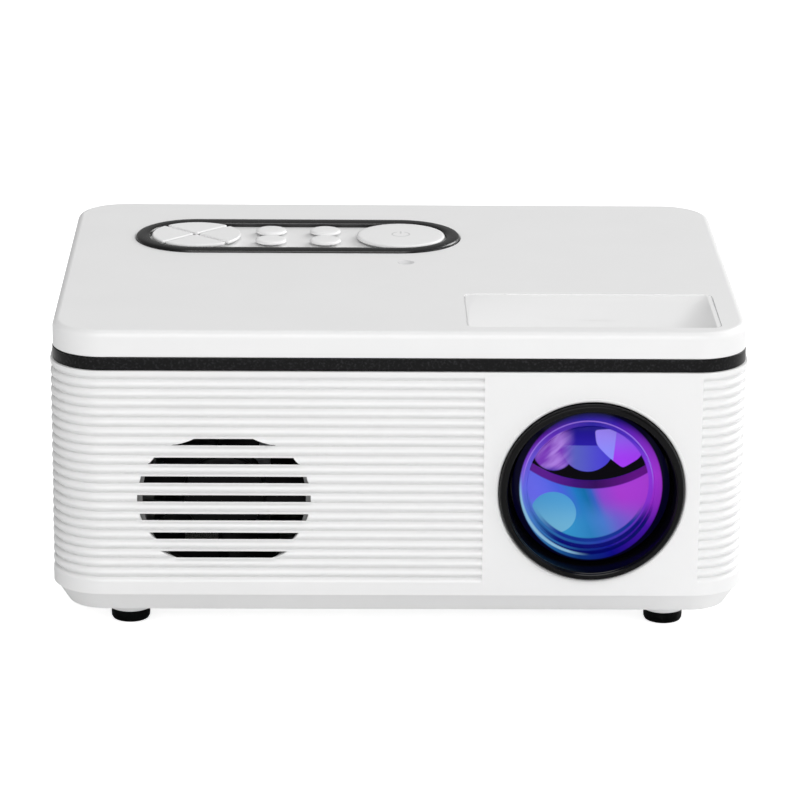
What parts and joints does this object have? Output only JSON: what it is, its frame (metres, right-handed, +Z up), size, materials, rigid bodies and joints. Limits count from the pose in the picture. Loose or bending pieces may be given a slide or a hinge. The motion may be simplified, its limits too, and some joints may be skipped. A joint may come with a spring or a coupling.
{
  "type": "mini projector",
  "caption": "Small LED projector with a ribbed white case, round grille, focusing lens, key panel on top and sockets at the back.",
  "frame": {"origin": "on the table under the middle of the case, midway between its sides and between its front and back", "axes": "+X to the viewer's right when the lens faces the viewer, +Y to the back, +Z up"},
  "size_m": [0.1432, 0.1065, 0.0662],
  "materials": {
    "white_abs": "moulded, satin gloss",
    "white_keys": "moulded, satin gloss",
    "black_trim": "moulded, fine texture",
    "black_lens_plastic": "moulded, satin",
    "black_inner_plastic": "moulded, matt",
    "coated_glass": "polished, coated",
    "clear_panes": "clear",
    "lcd": "dark pane",
    "milky_window": "translucent",
    "silvered": "polished",
    "aluminium": "extruded",
    "circuit_board": "solder mask",
    "steel": "zinc plated",
    "yellow_phosphor": "cast",
    "brass": "turned",
    "rubber": "moulded",
    "cone_paper": "pressed paper"
  },
  "bodies": {
    "housing": {"lower_housing": "white_abs", "base_cover": "white_abs", "top_cover": "white_abs", "trim_band": "black_trim", "control_ring": "black_trim", "light_box": "black_inner_plastic", "light_box_lid": "black_inner_plastic", "light_cone": "black_inner_plastic", "mirror_holder": "black_inner_plastic", "fan_frame": "black_inner_plastic", "speaker_frame": "black_inner_plastic", "av_jack": "black_inner_plastic", "dc_jack": "black_inner_plastic", "card_socket": "black_inner_plastic", "hdmi_tongue": "black_inner_plastic", "usb_tongue": "black_inner_plastic", "tact_switches": "black_inner_plastic", "main_chip": "black_inner_plastic", "power_coils": "black_inner_plastic", "ir_receiver": "black_inner_plastic", "heat_glass": "clear_panes", "rear_fresnel": "clear_panes", "front_fresnel": "clear_panes", "lcd_panel": "lcd", "ir_window": "milky_window", "fold_mirror": "silvered", "heatsink": "aluminium", "led_board": "aluminium", "main_board": "circuit_board", "keypad_board": "circuit_board", "hdmi_shell": "steel", "usb_shell": "steel", "dc_pin": "steel", "speaker_magnet": "steel", "led_emitter": "yellow_phosphor", "tripod_nut": "brass", "rubber_feet": "rubber", "speaker_cone": "cone_paper"},
    "key_right": {"key_right": "white_keys"},
    "key_up": {"key_up": "white_keys"},
    "key_left": {"key_left": "white_keys"},
    "key_down": {"key_down": "white_keys"},
    "small_key_1": {"small_key_1": "white_keys"},
    "small_key_2": {"small_key_2": "white_keys"},
    "small_key_3": {"small_key_3": "white_keys"},
    "small_key_4": {"small_key_4": "white_keys"},
    "power_key": {"power_key": "white_keys"},
    "fan_rotor": {"fan_rotor": "black_inner_plastic"},
    "lens_carriage": {"lens_carriage": "black_lens_plastic", "front_lens": "coated_glass", "rear_lens": "coated_glass"},
    "focus_ring": {"focus_ring": "black_lens_plastic"}
  },
  "joints": [
    {"name": "key_right_press", "type": "slide", "parent": "housing", "child": "key_right", "axis": [0, 0, -1], "range_m": [0, 0.0005], "stiffness_N_per_m": 1500},
    {"name": "key_up_press", "type": "slide", "parent": "housing", "child": "key_up", "axis": [0, 0, -1], "range_m": [0, 0.0005], "stiffness_N_per_m": 1500},
    {"name": "key_left_press", "type": "slide", "parent": "housing", "child": "key_left", "axis": [0, 0, -1], "range_m": [0, 0.0005], "stiffness_N_per_m": 1500},
    {"name": "key_down_press", "type": "slide", "parent": "housing", "child": "key_down", "axis": [0, 0, -1], "range_m": [0, 0.0005], "stiffness_N_per_m": 1500},
    {"name": "small_key_1_press", "type": "slide", "parent": "housing", "child": "small_key_1", "axis": [0, 0, -1], "range_m": [0, 0.0005], "stiffness_N_per_m": 1500},
    {"name": "small_key_2_press", "type": "slide", "parent": "housing", "child": "small_key_2", "axis": [0, 0, -1], "range_m": [0, 0.0005], "stiffness_N_per_m": 1500},
    {"name": "small_key_3_press", "type": "slide", "parent": "housing", "child": "small_key_3", "axis": [0, 0, -1], "range_m": [0, 0.0005], "stiffness_N_per_m": 1500},
    {"name": "small_key_4_press", "type": "slide", "parent": "housing", "child": "small_key_4", "axis": [0, 0, -1], "range_m": [0, 0.0005], "stiffness_N_per_m": 1500},
    {"name": "power_key_press", "type": "slide", "parent": "housing", "child": "power_key", "axis": [0, 0, -1], "range_m": [0, 0.0005], "stiffness_N_per_m": 1500},
    {"name": "fan_spin", "type": "hinge", "parent": "housing", "child": "fan_rotor", "pos_m": [-0.0358, -0.0455, 0.02986], "axis": [0, -1, 0], "continuous": true},
    {"name": "carriage_slide", "type": "slide", "parent": "housing", "child": "lens_carriage", "axis": [0, -1, 0], "range_m": [0, 0.0045]},
    {"name": "focus_turn", "type": "hinge", "parent": "lens_carriage", "child": "focus_ring", "pos_m": [0.0394, -0.0538, 0.0319], "axis": [0, -1, 0], "range_deg": [0, 270]}
  ],
  "couplings": [
    {"joint": "focus_turn", "follows": "carriage_slide", "rad_per_m": 1047.2}
  ]
}
